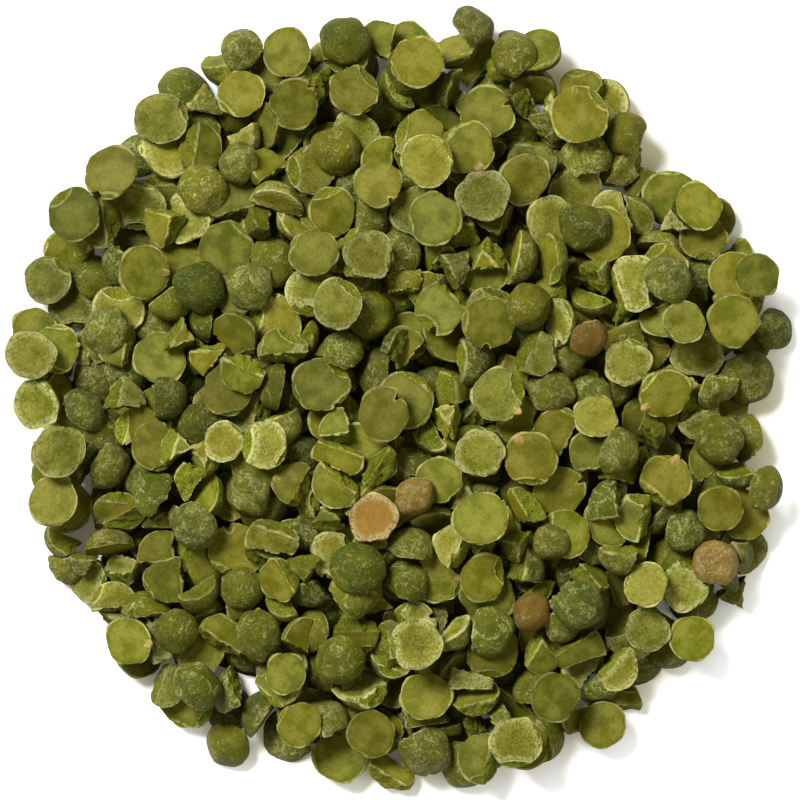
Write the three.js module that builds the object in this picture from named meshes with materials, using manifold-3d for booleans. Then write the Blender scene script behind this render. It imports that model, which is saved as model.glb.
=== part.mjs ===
// A low round heap of green split peas, as poured out on a flat surface.
// Millimetres, +Z up. The origin is the middle of the heap's flat underside,
// with +X to the photo's right and +Y to its top.
//
// The heap is worked out one pea at a time. Each piece of pea is dropped straight down on
// the heap's height map, shifts and tips a little towards a lower rest, and stays there.
// The pieces that show are then fused on a low core.

import * as THREE from 'three';
import { mergeVertices } from 'three/addons/utils/BufferGeometryUtils.js';
import Module from 'manifold-3d';

// ---- Driving dimensions

const PEA_RADIUS = 3.3; // of a whole half's flat face
const DOME_SHARE = 0.9; // a dome's height over its radius
const SIZE_SPREAD = [0.88, 1.07]; // least and most of a pea's radius over the whole half's
const AXES_SPREAD = { long: [0.97, 1.03], short: [0.93, 1], dome: [0.9, 1.08] };
const HEAP_RADIUS = 46.2; // mean, out to the outermost peas
const HEAP_HEIGHT = 11.5; // of the mound that the peas are piled up to
const MOUND_POWER = 3; // a high power gives a flat top and a steep rim
const SEED = 22477;

// The outline's slow waves: how many round the heap, share of the radius, phase in degrees.
const OUTLINE_WAVES = [[1, 0.0077, 103], [2, 0.0174, 115], [3, 0.0065, -118], [4, 0.0068, 166],
  [5, 0.0063, -71], [7, 0.0136, -152], [8, 0.0161, 175]];

// Depth under the mound's surface where each round of filling stops, and the height over it
// that a piece's centre of mass may come to rest at.
const HIDDEN_DEPTH = 3.4;
const TOP_DEPTH = 0.7;
const HIGHEST_REST = 0.7;
const HIGHEST_RIM_REST = 7; // over the floor
const SETTLING = 1.2; // the most that a piece comes down while it settles

// The core, which carries the peas that show.
const CORE_DEPTH = 0.6; // under the heap's mean surface
const STANDS_CLEAR = 2.4; // height of a pea's middle over the core where it needs another below it
const FOOT_HEIGHT = 1.1;
const FOOT_SHARE = 0.94;
const PROUD = 0.08; // how far the faceted peas stand proud of the true ones, so that they fuse

// How a pea breaks: share of all pieces, then its cuts, each as the heading of the cut's
// outward normal in degrees, its distance from the pea's middle over the pea's radius, and
// how far it leans, in degrees.
const BREAKS = {
  half: { share: 0.3, cuts: [] },
  chipped: { share: 0.18, cuts: [[0, 0.55, 20]] },
  quarter: { share: 0.23, cuts: [[0, 0.12, 14]] },
  wedge: { share: 0.14, cuts: [[0, 0.25, 10], [110, 0.35, -15]] },
  slab: { share: 0.08, cuts: [[0, 0.42, 6], [180, 0.3, -10]] },
  shard: { share: 0.07, cuts: [[0, 0, 25], [130, 0.4, 0], [235, 0.45, 12]] },
};
const BREAK_SPREAD = { heading: 15, distance: 0.1, lean: 14 }; // either way of those values

// How the pieces lie before they settle: share of all, least and most tilt of the flat face.
const LIES = [
  { share: 0.44, from: 0, to: 0.95 }, // flat face up
  { share: 0.28, from: Math.PI, to: Math.PI - 0.8 }, // dome up
  { share: 0.28, from: 0.8, to: 2.3 }, // on edge
];

// Peas that stand out, each at its own place: x, y and radius.
const FLAT_UP = [
  [2.0, 40.6, 3.3], [-5.6, 37.1, 3.1], [-19.2, 36.8, 3.0], [-13.0, 35.5, 3.2],
  [-29.0, 33.7, 3.3], [21.0, 34.3, 3.5], [3.7, 28.9, 3.3], [-34.3, 27.1, 3.4],
  [-38.5, 22.8, 3.4], [10.2, 24.0, 3.4], [4.7, 21.4, 3.4], [35.0, 22.8, 3.0],
  [-4.1, 17.4, 3.2], [-10.3, 17.2, 3.0], [-31.3, 15.7, 3.4], [42.8, 15.2, 2.8],
  [-7.6, 11.6, 3.1], [9.6, 9.5, 3.4], [39.8, 9.7, 3.3], [33.7, 9.1, 2.7],
  [-44.2, 5.6, 3.1], [-43.2, 0.0, 3.2], [31.3, 1.8, 3.2], [11.9, 0.5, 3.3],
  [-1.8, -1.4, 3.4], [23.4, -2.0, 2.8], [-21.6, -4.8, 2.5], [-16.4, -5.2, 3.0],
  [-40.6, -5.8, 3.3], [-41.4, -11.3, 3.2], [5.3, -9.4, 2.9], [9.7, -14.3, 3.4],
  [37.8, -13.3, 3.0], [29.4, -21.6, 2.9], [-32.3, -28.9, 3.0], [2.0, -28.9, 3.3],
  [-13.4, -32.8, 2.6], [18.4, -35.4, 3.2], [-4.2, -38.6, 3.1], [-11.9, -38.8, 2.8],
  [24.1, -38.4, 3.0], [13.7, -40.6, 3.3], [-13.4, 41.6, 3.1], [34.8, -28.6, 2.9],
  [29.6, -27.4, 2.8],
];
const DOME_UP = [
  [-23.8, 25.4, 3.1], [-19.6, 28.2, 2.7], [-7.9, 30.2, 3.1], [22.3, 20.8, 3.3],
  [27.8, 31.9, 2.7], [-34.9, 8.5, 3.0], [-37.3, -0.7, 2.8], [-24.0, 13.6, 3.2],
  [-17.8, 13.6, 3.0], [-24.0, -14.6, 3.0], [-18.0, -10.8, 2.9], [14.6, 11.6, 3.1],
  [31.8, 13.8, 3.1], [38.8, -4.6, 3.2], [25.3, -5.2, 2.9], [42.7, -10.2, 2.9],
  [44.4, 8.5, 2.7], [-7.0, 5.6, 2.6], [-4.8, -19.9, 3.4], [-17.5, -28.3, 3.2],
  [-7.2, -30.6, 3.1], [-24.6, -34.9, 3.0], [-19.9, -40.7, 3.0], [21.4, -24.0, 3.2],
  [-18.6, -22.6, 2.7], [-26.8, -27.2, 2.9], [18.2, -16.7, 2.3], [8.6, 45.0, 2.9],
  [-18.2, 42.0, 2.8], [-6.6, 43.2, 3.1], [14.2, 41.3, 3.0],
];
const TAN_FLAT_UP = [[-2.9, -14.0, 3.1]];
const TAN_DOME_UP = [[1.2, -11.0, 2.6], [21.8, 8.3, 2.6], [37.8, -19.6, 3.0], [15.8, -25.4, 2.4]];
const MARKED_TILT = 0.4; // the most that one of these is laid out of level, in radians

// ---- Helpers

const TURN = 2 * Math.PI;
const RANDOM_FACTOR = 48271;
const RANDOM_RANGE = 2147483647;

function radians(degrees) {
  return degrees * Math.PI / 180;
}

// A whole-number random sequence, so that each run gives the same heap.
class Random {
  constructor(seed) {
    this.state = seed;
  }

  next() {
    this.state = (this.state * RANDOM_FACTOR) % RANDOM_RANGE;
    return this.state / RANDOM_RANGE;
  }

  between(low, high) {
    return low + (high - low) * this.next();
  }

  around(spread) {
    return this.between(-spread, spread);
  }
}

// Three rows of a turn: spun about Z, tilted about Y, then faced about Z.
function turned(facing, tilt, spin) {
  const [ca, sa] = [Math.cos(facing), Math.sin(facing)];
  const [ct, st] = [Math.cos(tilt), Math.sin(tilt)];
  const [cs, ss] = [Math.cos(spin), Math.sin(spin)];
  return [
    [ca * ct * cs - sa * ss, -ca * ct * ss - sa * cs, ca * st],
    [sa * ct * cs + ca * ss, -sa * ct * ss + ca * cs, sa * st],
    [-st * cs, st * ss, ct],
  ];
}

// The same turn, tipped further about a level axis.
function tipped(turn, heading, angle) {
  const [x, y] = [Math.cos(heading), Math.sin(heading)];
  const [c, s] = [Math.cos(angle), Math.sin(angle)];
  const k = 1 - c;
  const tip = [[c + x * x * k, x * y * k, y * s], [x * y * k, c + y * y * k, -x * s], [-y * s, x * s, c]];
  return tip.map((row) => [0, 1, 2].map(
    (n) => row[0] * turn[0][n] + row[1] * turn[1][n] + row[2] * turn[2][n],
  ));
}

// ---- One piece of pea: a flat face at z = 0, a dome below it, and flat breaks

function makePiece(random, kind, radius) {
  const axes = [
    radius * random.between(...AXES_SPREAD.long),
    radius * random.between(...AXES_SPREAD.short),
    radius * DOME_SHARE * random.between(...AXES_SPREAD.dome),
  ];
  const cuts = BREAKS[kind].cuts.map(([heading, distance, lean]) => {
    const h = radians(heading + random.around(BREAK_SPREAD.heading));
    const l = radians(lean + random.around(BREAK_SPREAD.lean));
    const d = radius * (distance + random.around(BREAK_SPREAD.distance));
    return [Math.cos(h) * Math.cos(l), Math.sin(h) * Math.cos(l), Math.sin(l), d];
  });
  return { axes, cuts, middle: middleOf(axes, cuts) };
}

const MIDDLE_STEPS = 6; // of the grid, along half of each axis

// The centre of mass, from a grid of points over the piece's box.
function middleOf([a, b, c], cuts) {
  const sum = [0, 0, 0];
  let count = 0;
  for (let i = 0; i < 2 * MIDDLE_STEPS; i += 1) {
    for (let j = 0; j < 2 * MIDDLE_STEPS; j += 1) {
      for (let k = 0; k < MIDDLE_STEPS; k += 1) {
        const [u, v, w] = [i, j, k].map((n) => (n + 0.5) / MIDDLE_STEPS);
        const p = [a * (u - 1), b * (v - 1), -c * w];
        const inEgg = (u - 1) ** 2 + (v - 1) ** 2 + w ** 2 <= 1;
        if (inEgg && cuts.every((n) => n[0] * p[0] + n[1] * p[1] + n[2] * p[2] <= n[3])) {
          p.forEach((value, n) => { sum[n] += value; });
          count += 1;
        }
      }
    }
  }
  return sum.map((value) => value / count);
}

// ---- The mound that the peas are piled up to

function outline(heading) {
  let share = 1;
  for (const [count, size, phase] of OUTLINE_WAVES) {
    share += size * Math.cos(count * heading + radians(phase));
  }
  return HEAP_RADIUS * share;
}

function mound(x, y) {
  const share = Math.hypot(x, y) / outline(Math.atan2(y, x));
  return HEAP_HEIGHT * Math.max(0, 1 - share ** MOUND_POWER);
}

// ---- The heap

const CELL = 0.25;
const FIELD = 52; // half of the height map's side
const COUNT = 2 * FIELD / CELL;
const REACH = 16; // cells from a piece's middle to the edge of its window

const SETTLE = { rounds: 12, tries: 10, slide: 0.9, tip: 0.35, spring: 0.12 };
const SETTLE_IN_PLACE = { rounds: 12, tries: 10, slide: 0.6, tip: 0.25, spring: 0.6 };
const BEDDING = 0.25; // how far a piece's dents let it sink into the one that it lands on
const RIM_INSET = 0.75 * PEA_RADIUS; // of the outermost peas' middles from the outline
const BARE = 0.5; // a spot lower than this shows the floor
const BARE_BONUS = 4; // extra room that such a spot counts as
const COVER_COST = 0.012; // millimetres of height for each cell of a marked pea that is covered
const LEVEL_REACH = 1.5; // how far around a place its level is read
const SPOTS = 6; // places that are looked at for each pea
const MOST_MISSES = 80; // in a row, before a round of filling ends
const LEAST_RISE = 1e-9; // keeps a wall's slope from being nought

class Heap {
  constructor() {
    this.top = new Float64Array(COUNT * COUNT);
    this.marked = new Uint8Array(COUNT * COUNT);
    this.owner = new Int32Array(COUNT * COUNT).fill(-1);
    this.pieces = [];
  }

  // Calls visit(cell, low, high) for each cell under a piece that stands at height zero.
  over(piece, x, y, turn, visit) {
    const column = Math.floor((x + FIELD) / CELL);
    const line = Math.floor((y + FIELD) / CELL);
    const scale = piece.axes.map((axis) => 1 / axis);
    const up = turn[2];
    const slope = up.map((value, n) => value * scale[n]);
    const A = slope[0] ** 2 + slope[1] ** 2 + slope[2] ** 2;
    const walls = [[0, 0, 1, 0], ...piece.cuts].map((wall) => {
      const rise = wall[0] * up[0] + wall[1] * up[1] + wall[2] * up[2];
      return [...wall, Math.abs(rise) < LEAST_RISE ? LEAST_RISE : rise];
    });
    for (let i = column - REACH; i <= column + REACH; i += 1) {
      const dx = (i + 0.5) * CELL - FIELD - x;
      for (let j = line - REACH; j <= line + REACH; j += 1) {
        const dy = (j + 0.5) * CELL - FIELD - y;
        const ox = turn[0][0] * dx + turn[1][0] * dy;
        const oy = turn[0][1] * dx + turn[1][1] * dy;
        const oz = turn[0][2] * dx + turn[1][2] * dy;
        const sx = ox * scale[0];
        const sy = oy * scale[1];
        const sz = oz * scale[2];
        const B = sx * slope[0] + sy * slope[1] + sz * slope[2];
        const D = B * B - A * (sx * sx + sy * sy + sz * sz - 1);
        if (D > 0) {
          const root = Math.sqrt(D);
          let low = (-B - root) / A;
          let high = (-B + root) / A;
          for (const [nx, ny, nz, distance, rise] of walls) {
            const t = (distance - (nx * ox + ny * oy + nz * oz)) / rise;
            if (rise > 0) high = Math.min(high, t);
            else low = Math.max(low, t);
          }
          if (low < high) visit(i * COUNT + j, low, high);
        }
      }
    }
  }

  // Where a piece comes to rest straight below, on which piece (-1 is the floor), and the
  // height of its centre of mass there.
  drop(piece, x, y, turn) {
    let z = -Infinity;
    let under = -1;
    let covered = 0;
    this.over(piece, x, y, turn, (cell, low) => {
      if (this.top[cell] - low > z) {
        z = this.top[cell] - low;
        under = this.owner[cell];
      }
      covered += this.marked[cell];
    });
    z -= BEDDING;
    const [mx, my, mz] = piece.middle;
    const centre = z + turn[2][0] * mx + turn[2][1] * my + turn[2][2] * mz;
    return { x, y, z, turn, under, cost: centre + COVER_COST * covered };
  }

  // Lets a piece shift and tip towards a lower rest, in smaller and smaller steps.
  settle(random, piece, first, { rounds, tries, slide, tip, spring }) {
    let rest = first;
    for (let round = 0; round < rounds; round += 1) {
      const step = 1 - round / rounds;
      const from = rest;
      for (let n = 0; n < tries; n += 1) {
        const heading = random.between(0, TURN);
        const shift = slide * step * random.next();
        const axis = random.between(0, TURN);
        const angle = tip * step * random.next();
        const nx = from.x + shift * Math.cos(heading);
        const ny = from.y + shift * Math.sin(heading);
        const next = this.drop(piece, nx, ny, tipped(from.turn, axis, angle));
        next.cost += spring * ((nx - first.x) ** 2 + (ny - first.y) ** 2);
        if (next.cost < rest.cost) rest = next;
      }
    }
    return rest;
  }

  place(piece, rest, marks) {
    this.over(piece, rest.x, rest.y, rest.turn, (cell, low, high) => {
      if (rest.z + high > this.top[cell]) {
        this.top[cell] = rest.z + high;
        this.owner[cell] = this.pieces.length;
      }
      this.marked[cell] = marks ? 1 : 0;
    });
    this.pieces.push({ ...piece, ...rest });
  }

  cellAt(x, y) {
    return Math.floor((x + FIELD) / CELL) * COUNT + Math.floor((y + FIELD) / CELL);
  }

  height(x, y) {
    return this.top[this.cellAt(x, y)] ?? 0;
  }

  // The heap's mean height around a place, counted higher over the marked peas.
  level(x, y) {
    const around = [-LEVEL_REACH, 0, LEVEL_REACH];
    let sum = 0;
    for (const dx of around) {
      for (const dy of around) {
        const cell = this.cellAt(x + dx, y + dy);
        sum += this.top[cell] + this.marked[cell];
      }
    }
    return sum / around.length ** 2;
  }

  // How many cells each piece shows from above.
  shown() {
    const cells = this.pieces.map(() => 0);
    for (const piece of this.owner) {
      if (piece >= 0) cells[piece] += 1;
    }
    return cells;
  }
}

function pickKind(random) {
  let left = random.next();
  for (const [kind, { share }] of Object.entries(BREAKS)) {
    left -= share;
    if (left <= 0) return kind;
  }
  return 'half';
}

function pickTurn(random) {
  const facing = random.between(0, TURN);
  let way = random.next();
  let lie = 0;
  while (lie < LIES.length - 1 && way > LIES[lie].share) {
    way -= LIES[lie].share;
    lie += 1;
  }
  const tilt = random.between(LIES[lie].from, LIES[lie].to);
  return turned(facing, tilt, random.between(0, TURN));
}

function pickSpot(random) {
  for (;;) {
    const x = random.between(-FIELD, FIELD);
    const y = random.between(-FIELD, FIELD);
    if (Math.hypot(x, y) < outline(Math.atan2(y, x)) - RIM_INSET) return [x, y];
  }
}

// Adds peas where the heap is lowest under the mound or bare, until none is wanted.
function fill(heap, random, depth) {
  let misses = 0;
  while (misses < MOST_MISSES) {
    let best = [-Infinity, 0, 0];
    for (let n = 0; n < SPOTS; n += 1) {
      const [x, y] = pickSpot(random);
      const bonus = heap.height(x, y) < BARE ? BARE_BONUS : 0;
      const room = mound(x, y) - depth - heap.level(x, y) + bonus;
      if (room > best[0]) best = [room, x, y];
    }
    const [room, x, y] = best;
    const kind = pickKind(random);
    const piece = makePiece(random, kind, PEA_RADIUS * random.between(...SIZE_SPREAD));
    const first = heap.drop(piece, x, y, pickTurn(random));
    const highest = Math.max(mound(x, y) + HIGHEST_REST, HIGHEST_RIM_REST);
    misses += 1;
    if (room > 0 && first.cost < highest + SETTLING) {
      const rest = heap.settle(random, piece, first, SETTLE);
      if (rest.cost < highest) {
        heap.place(piece, rest, false);
        misses = 0;
      }
    }
  }
}

function layMarked(heap, random, places, domeUp) {
  for (const [x, y, radius] of places) {
    const piece = makePiece(random, 'half', radius);
    const lean = random.between(0, MARKED_TILT);
    const facing = random.between(0, TURN);
    const turn = turned(facing, domeUp ? Math.PI - lean : lean, random.between(0, TURN));
    const first = heap.drop(piece, x, y, turn);
    heap.place(piece, heap.settle(random, piece, first, SETTLE_IN_PLACE), true);
  }
}

function pourHeap() {
  const heap = new Heap();
  const random = new Random(SEED);
  fill(heap, random, HIDDEN_DEPTH);
  layMarked(heap, random, FLAT_UP, false);
  layMarked(heap, random, DOME_UP, true);
  layMarked(heap, random, TAN_FLAT_UP, false);
  layMarked(heap, random, TAN_DOME_UP, true);
  fill(heap, random, TOP_DEPTH);
  return heap;
}

// ---- Solids

const PEA_SIDES = 6;
const SHOULDER = [0.72, -0.7]; // of a faceted dome, over its radius and its height
const SIDES_SCALE = 1.06; // brings a six-sided outline near a round one's area
const FEWEST_CELLS = 150; // a piece that shows less than this from above is left to the core
const CORE_RINGS = 6;
const CORE_SIDES = 20;
const SMOOTHING = { reach: 6, step: 1.5, spread: 12 }; // about two peas across
const CUTTER_SIZE = 4 * PEA_RADIUS; // wide enough to take off any part of a pea
const SAME_POINT = 1e-5; // points nearer than this are joined

const wasm = await Module();
wasm.setup();

function toSolid(geometry) {
  const bare = geometry.index ? geometry.clone() : geometry;
  bare.deleteAttribute('normal');
  bare.deleteAttribute('uv');
  const merged = mergeVertices(bare, SAME_POINT);
  return new wasm.Manifold(new wasm.Mesh({
    numProp: 3,
    vertProperties: new Float32Array(merged.attributes.position.array),
    triVerts: new Uint32Array(merged.index.array),
  }));
}

function toGeometry(solid) {
  const mesh = solid.getMesh();
  const geometry = new THREE.BufferGeometry();
  geometry.setAttribute('position', new THREE.BufferAttribute(mesh.vertProperties, 3));
  geometry.setIndex(new THREE.BufferAttribute(mesh.triVerts, 1));
  geometry.computeVertexNormals();
  return geometry;
}

// A unit half pea: flat face up, and a dome of one band and a cap below it.
function halfGeometry() {
  const profile = [[0, -1], SHOULDER, [1, 0], [0, 0]].map(([r, z]) => new THREE.Vector2(r, z));
  return new THREE.LatheGeometry(profile, PEA_SIDES).rotateX(Math.PI / 2);
}

const HALF = halfGeometry();

// A block that lies beyond a cut.
function cutter([nx, ny, nz, distance]) {
  const block = new THREE.BoxGeometry(CUTTER_SIZE, CUTTER_SIZE, CUTTER_SIZE);
  block.translate(0, 0, distance + PROUD + CUTTER_SIZE / 2);
  const aim = new THREE.Quaternion();
  aim.setFromUnitVectors(new THREE.Vector3(0, 0, 1), new THREE.Vector3(nx, ny, nz));
  return toSolid(block.applyQuaternion(aim));
}

function pieceMatrix({ x, y, z, turn: [r, s, t] }) {
  return new THREE.Matrix4().set(
    r[0], r[1], r[2], x,
    s[0], s[1], s[2], y,
    t[0], t[1], t[2], z,
    0, 0, 0, 1,
  );
}

function pieceSolid(piece) {
  const [a, b, c] = piece.axes.map((axis) => axis * SIDES_SCALE + PROUD);
  let solid = toSolid(HALF.clone().scale(a, b, c).translate(0, 0, PROUD));
  for (const cut of piece.cuts) solid = solid.subtract(cutter(cut));
  return solid.transform(pieceMatrix(piece).elements);
}

// The heap's height, smoothed.
function smoothed(heap, x, y) {
  const { reach, step, spread } = SMOOTHING;
  let sum = 0;
  let weights = 0;
  for (let dx = -reach; dx <= reach; dx += step) {
    for (let dy = -reach; dy <= reach; dy += step) {
      const weight = Math.exp(-(dx * dx + dy * dy) / spread);
      sum += weight * heap.height(x + dx, y + dy);
      weights += weight;
    }
  }
  return sum / weights;
}

function coreHeight(heap, x, y) {
  return Math.max(FOOT_HEIGHT, smoothed(heap, x, y) - CORE_DEPTH);
}

// The core: a faceted mound under the peas that show, on a thin foot that is cut off level
// with the floor later.
function coreSolid(heap) {
  const points = [];
  const faces = [];
  const addRing = (share, height) => {
    for (let n = 0; n < CORE_SIDES; n += 1) {
      const heading = TURN * n / CORE_SIDES;
      const r = share * outline(heading);
      const [x, y] = [r * Math.cos(heading), r * Math.sin(heading)];
      points.push(x, y, height(x, y));
    }
  };
  const surface = (x, y) => coreHeight(heap, x, y);
  for (let ring = 1; ring <= CORE_RINGS; ring += 1) addRing(FOOT_SHARE * ring / CORE_RINGS, surface);
  addRing(FOOT_SHARE, () => -FOOT_HEIGHT);
  const top = points.length / 3;
  points.push(0, 0, surface(0, 0), 0, 0, -FOOT_HEIGHT);
  for (let n = 0; n < CORE_SIDES; n += 1) {
    const m = (n + 1) % CORE_SIDES;
    faces.push(top, n, m);
    for (let ring = 0; ring < CORE_RINGS; ring += 1) {
      const inner = ring * CORE_SIDES;
      const outer = inner + CORE_SIDES;
      faces.push(inner + n, outer + n, outer + m, inner + n, outer + m, inner + m);
    }
    faces.push(top + 1, CORE_RINGS * CORE_SIDES + m, CORE_RINGS * CORE_SIDES + n);
  }
  const geometry = new THREE.BufferGeometry();
  geometry.setAttribute('position', new THREE.Float32BufferAttribute(points, 3));
  geometry.setIndex(faces);
  return toSolid(geometry);
}

function floorBlock() {
  return toSolid(new THREE.BoxGeometry(4 * FIELD, 4 * FIELD, FIELD).translate(0, 0, -FIELD / 2));
}

// The pieces that show well from above, and what carries those that stand clear of the core.
function carried(heap) {
  const kept = new Set();
  heap.shown().forEach((cells, shownPiece) => {
    let n = cells >= FEWEST_CELLS ? shownPiece : -1;
    while (n >= 0) {
      kept.add(n);
      const { x, y, under, cost } = heap.pieces[n];
      n = cost > coreHeight(heap, x, y) + STANDS_CLEAR ? under : -1;
    }
  });
  return kept;
}

// The whole heap as one body, with loose scraps dropped and sealed hollows filled.
function heapSolid() {
  const heap = pourHeap();
  const peas = [...carried(heap)].map((n) => pieceSolid(heap.pieces[n]));
  const fused = wasm.Manifold.union([coreSolid(heap), ...peas]).subtract(floorBlock());
  const bodies = fused.decompose();
  return bodies.reduce((best, body) => (body.volume() > best.volume() ? body : best));
}

// ---- The part

const material = new THREE.MeshStandardMaterial({ color: 0x6b6b28, roughness: 0.6, metalness: 0 });
const heap = new THREE.Mesh(toGeometry(heapSolid()), material);
heap.name = 'split_pea_heap';

const group = new THREE.Group();
group.add(heap);

export default group;
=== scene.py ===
"""A low round heap of green split peas, with every pea modelled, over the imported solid.

The heap is worked out by the same rule as the solid's: each piece of pea is dropped straight
down on a height map, shifts and tips towards a lower rest, and stays there. Here each piece is
then a true half pea with its own outline, dents, bites and rough breaks. Sizes are in
millimetres until the meshes are made, which are in metres.
"""

import math
from types import SimpleNamespace

import bmesh
import bpy
import numpy as np
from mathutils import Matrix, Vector


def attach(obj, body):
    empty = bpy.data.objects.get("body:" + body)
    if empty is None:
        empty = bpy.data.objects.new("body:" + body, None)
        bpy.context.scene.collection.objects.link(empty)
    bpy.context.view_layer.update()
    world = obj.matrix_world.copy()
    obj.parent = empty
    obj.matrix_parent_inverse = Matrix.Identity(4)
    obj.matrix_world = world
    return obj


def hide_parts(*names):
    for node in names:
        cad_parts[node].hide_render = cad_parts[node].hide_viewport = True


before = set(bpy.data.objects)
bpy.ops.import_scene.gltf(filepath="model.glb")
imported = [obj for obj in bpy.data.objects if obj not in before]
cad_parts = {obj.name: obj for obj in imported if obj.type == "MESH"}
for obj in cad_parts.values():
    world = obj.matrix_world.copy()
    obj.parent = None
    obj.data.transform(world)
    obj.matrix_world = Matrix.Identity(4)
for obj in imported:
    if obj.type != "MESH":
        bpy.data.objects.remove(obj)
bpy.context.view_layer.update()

MM = 0.001
TURN = 2 * math.pi

# ---- Driving dimensions, as in the solid's source

PEA_RADIUS = 3.3
DOME_SHARE = 0.9
SIZE_SPREAD = (0.88, 1.07)
LONG_AXIS, SHORT_AXIS, DOME_AXIS = (0.97, 1.03), (0.93, 1), (0.9, 1.08)
HEAP_RADIUS = 46.2
HEAP_HEIGHT = 11.5
MOUND_POWER = 3
SEED = 22477

# The outline's slow waves: how many round the heap, share of the radius, phase in degrees.
OUTLINE_WAVES = (
    (1, 0.0077, 103), (2, 0.0174, 115), (3, 0.0065, -118), (4, 0.0068, 166),
    (5, 0.0063, -71), (7, 0.0136, -152), (8, 0.0161, 175),
)

# Depth under the mound's surface where each round of filling stops, and the height over it
# that a piece's centre of mass may come to rest at.
HIDDEN_DEPTH = 3.4
TOP_DEPTH = 0.7
HIGHEST_REST = 0.7
HIGHEST_RIM_REST = 7
SETTLING = 1.2

# How a pea breaks: share of all pieces, then its cuts, each as the heading of the cut's
# outward normal in degrees, its distance from the pea's middle over the pea's radius, and
# how far it leans, in degrees.
BREAKS = {
    "half": (0.3, ()),
    "chipped": (0.18, ((0, 0.55, 20),)),
    "quarter": (0.23, ((0, 0.12, 14),)),
    "wedge": (0.14, ((0, 0.25, 10), (110, 0.35, -15))),
    "slab": (0.08, ((0, 0.42, 6), (180, 0.3, -10))),
    "shard": (0.07, ((0, 0, 25), (130, 0.4, 0), (235, 0.45, 12))),
}
HEADING_SPREAD, DISTANCE_SPREAD, LEAN_SPREAD = 15, 0.1, 14

# How the pieces lie before they settle: share of all, least and most tilt of the flat face.
LIES = (
    (0.44, 0, 0.95),  # flat face up
    (0.28, math.pi, math.pi - 0.8),  # dome up
    (0.28, 0.8, 2.3),  # on edge
)

# Peas that stand out, each at its own place: x, y and radius.
FLAT_UP = (
    (2.0, 40.6, 3.3), (-5.6, 37.1, 3.1), (-19.2, 36.8, 3.0), (-13.0, 35.5, 3.2),
    (-29.0, 33.7, 3.3), (21.0, 34.3, 3.5), (3.7, 28.9, 3.3), (-34.3, 27.1, 3.4),
    (-38.5, 22.8, 3.4), (10.2, 24.0, 3.4), (4.7, 21.4, 3.4), (35.0, 22.8, 3.0),
    (-4.1, 17.4, 3.2), (-10.3, 17.2, 3.0), (-31.3, 15.7, 3.4), (42.8, 15.2, 2.8),
    (-7.6, 11.6, 3.1), (9.6, 9.5, 3.4), (39.8, 9.7, 3.3), (33.7, 9.1, 2.7),
    (-44.2, 5.6, 3.1), (-43.2, 0.0, 3.2), (31.3, 1.8, 3.2), (11.9, 0.5, 3.3),
    (-1.8, -1.4, 3.4), (23.4, -2.0, 2.8), (-21.6, -4.8, 2.5), (-16.4, -5.2, 3.0),
    (-40.6, -5.8, 3.3), (-41.4, -11.3, 3.2), (5.3, -9.4, 2.9), (9.7, -14.3, 3.4),
    (37.8, -13.3, 3.0), (29.4, -21.6, 2.9), (-32.3, -28.9, 3.0), (2.0, -28.9, 3.3),
    (-13.4, -32.8, 2.6), (18.4, -35.4, 3.2), (-4.2, -38.6, 3.1), (-11.9, -38.8, 2.8),
    (24.1, -38.4, 3.0), (13.7, -40.6, 3.3), (-13.4, 41.6, 3.1), (34.8, -28.6, 2.9),
    (29.6, -27.4, 2.8),
)
DOME_UP = (
    (-23.8, 25.4, 3.1), (-19.6, 28.2, 2.7), (-7.9, 30.2, 3.1), (22.3, 20.8, 3.3),
    (27.8, 31.9, 2.7), (-34.9, 8.5, 3.0), (-37.3, -0.7, 2.8), (-24.0, 13.6, 3.2),
    (-17.8, 13.6, 3.0), (-24.0, -14.6, 3.0), (-18.0, -10.8, 2.9), (14.6, 11.6, 3.1),
    (31.8, 13.8, 3.1), (38.8, -4.6, 3.2), (25.3, -5.2, 2.9), (42.7, -10.2, 2.9),
    (44.4, 8.5, 2.7), (-7.0, 5.6, 2.6), (-4.8, -19.9, 3.4), (-17.5, -28.3, 3.2),
    (-7.2, -30.6, 3.1), (-24.6, -34.9, 3.0), (-19.9, -40.7, 3.0), (21.4, -24.0, 3.2),
    (-18.6, -22.6, 2.7), (-26.8, -27.2, 2.9), (18.2, -16.7, 2.3), (8.6, 45.0, 2.9),
    (-18.2, 42.0, 2.8), (-6.6, 43.2, 3.1), (14.2, 41.3, 3.0),
)
TAN_FLAT_UP = ((-2.9, -14.0, 3.1),)
TAN_DOME_UP = ((1.2, -11.0, 2.6), (21.8, 8.3, 2.6), (37.8, -19.6, 3.0), (15.8, -25.4, 2.4))
MARKED_TILT = 0.4

# What the peas that stand out show, by their number in those lists: bites, notches and nubs
# of the germ, each with its heading in degrees as seen from above.
FLAT_MARKS = {
    1: (("bite", 40),), 3: (("notch", 50), ("nub", 40)), 5: (("nub", 100), ("bite", 40)),
    7: (("notch", 240),), 8: (("bite", 130),), 12: (("notch", 90),), 14: (("nub", -5),),
    16: (("bite", 50),), 17: (("notch", 265),), 22: (("nub", 215),), 24: (("notch", 50),),
    23: (("bite", 20), ("nub", -40)), 27: (("bite", 175),), 34: (("nub", 0),), 41: (("bite", 270),),
}

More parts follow.
